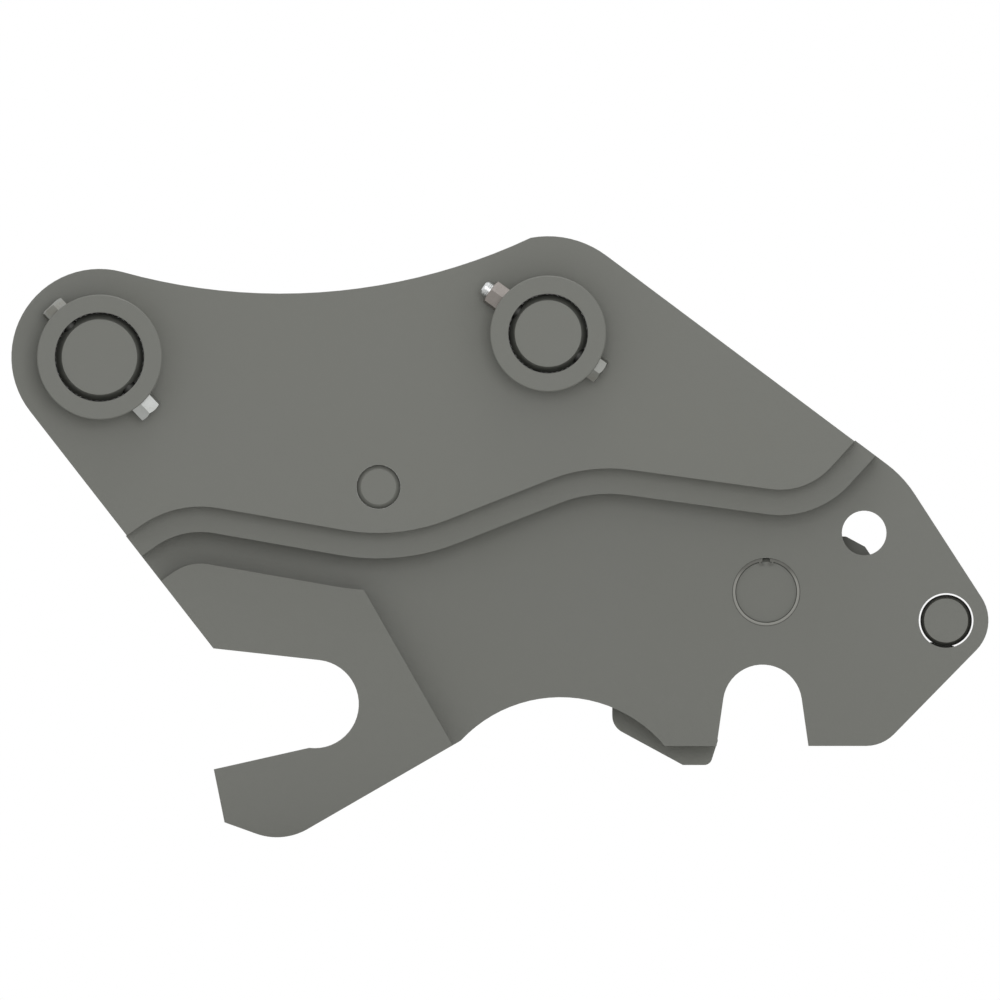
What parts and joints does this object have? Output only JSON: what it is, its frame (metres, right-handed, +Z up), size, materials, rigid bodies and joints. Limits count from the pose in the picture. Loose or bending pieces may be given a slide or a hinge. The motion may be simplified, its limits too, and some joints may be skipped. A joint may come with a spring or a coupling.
{
  "type": "hydraulic quick coupler",
  "caption": "Pin-grabbing excavator quick coupler: ears on a bent deck, a fixed front jaw, a rear slot and a cylinder-driven latch hook.",
  "frame": {"origin": "centre of the arm pin, on the middle plane of the coupler", "axes": "+X from the arm pin toward the hook and rear jaw, +Y to the left seen along +X, +Z up away from the bucket"},
  "size_m": [1.0005, 0.459, 0.6156],
  "materials": {
    "coupler_paint": "matte grey-green paint",
    "cylinder_paint": "satin dark grey paint",
    "pin_steel": "ground and hardened pin steel, ends painted over",
    "zinc_steel": "zinc plated",
    "dark_steel": "phosphated",
    "rod_chrome": "polished hard chrome",
    "bush_bronze": "turned bronze",
    "seal_rubber": "matte",
    "wear_polymer": "matte"
  },
  "bodies": {
    "frame": {"ear_plate_right": "coupler_paint", "ear_plate_left": "coupler_paint", "deck_plate": "coupler_paint", "arm_collar_right": "coupler_paint", "arm_collar_left": "coupler_paint", "link_collar_right": "coupler_paint", "link_collar_left": "coupler_paint", "arm_pin": "pin_steel", "link_pin": "pin_steel", "arm_collar_bolts": "zinc_steel", "link_collar_bolts": "zinc_steel", "collar_nuts": "zinc_steel", "side_plate_right": "coupler_paint", "side_plate_left": "coupler_paint", "jaw_doubler_right": "coupler_paint", "jaw_doubler_left": "coupler_paint", "jaw_saddle": "coupler_paint", "jaw_floor_plate": "coupler_paint", "front_cross_plate": "coupler_paint", "mid_cross_plate": "coupler_paint", "rear_cross_plate": "coupler_paint", "rear_tie_plate": "coupler_paint", "lifting_bar": "coupler_paint", "lifting_bar_keepers": "coupler_paint", "cylinder_lug_right": "coupler_paint", "cylinder_lug_left": "coupler_paint", "cylinder_base_pin": "pin_steel", "base_pin_spacers": "pin_steel", "base_pin_lock_screws": "zinc_steel", "hook_pivot_pin": "pin_steel", "pivot_circlips": "dark_steel", "hook_thrust_washers": "pin_steel"},
    "hook": {"latch_hook": "coupler_paint", "hook_bushes": "bush_bronze", "hook_grease_nipple": "zinc_steel"},
    "cylinder": {"cylinder_barrel": "cylinder_paint", "base_eye_bush": "bush_bronze", "base_grease_nipple": "zinc_steel", "cylinder_gland": "dark_steel", "rod_seal": "seal_rubber", "gland_seal_ring": "seal_rubber", "rod_wiper": "seal_rubber", "check_valve_block": "dark_steel", "valve_block_bolts": "dark_steel", "valve_cartridges": "zinc_steel", "hose_adapters": "zinc_steel", "transfer_tube": "zinc_steel", "tube_nuts": "zinc_steel"},
    "rod": {"piston_rod": "rod_chrome", "piston": "dark_steel", "piston_seal": "seal_rubber", "piston_wear_ring": "wear_polymer", "piston_nut": "dark_steel", "rod_eye_bush": "bush_bronze", "rod_pin": "pin_steel", "rod_pin_grease_nipple": "zinc_steel", "rod_pin_washer": "zinc_steel", "rod_pin_cotter": "zinc_steel"}
  },
  "joints": [
    {"name": "hook_swing", "type": "hinge", "parent": "frame", "child": "hook", "pos_m": [0.6827, 0, -0.2406], "axis": [0, -1, 0], "range_deg": [0, 24]},
    {"name": "cylinder_tilt", "type": "hinge", "parent": "frame", "child": "cylinder", "pos_m": [0.2857, 0, -0.133], "axis": [0, -1, 0], "range_deg": [-4.5, 0]},
    {"name": "rod_slide", "type": "slide", "parent": "cylinder", "child": "rod", "axis": [0.9138, 0, -0.4061], "range_m": [0, 0.0325]}
  ],
  "couplings": [
    {"joint": "cylinder_tilt", "follows": "hook_swing", "ratio": -0.18327},
    {"joint": "rod_slide", "follows": "hook_swing", "m_per_rad": 0.076589}
  ]
}
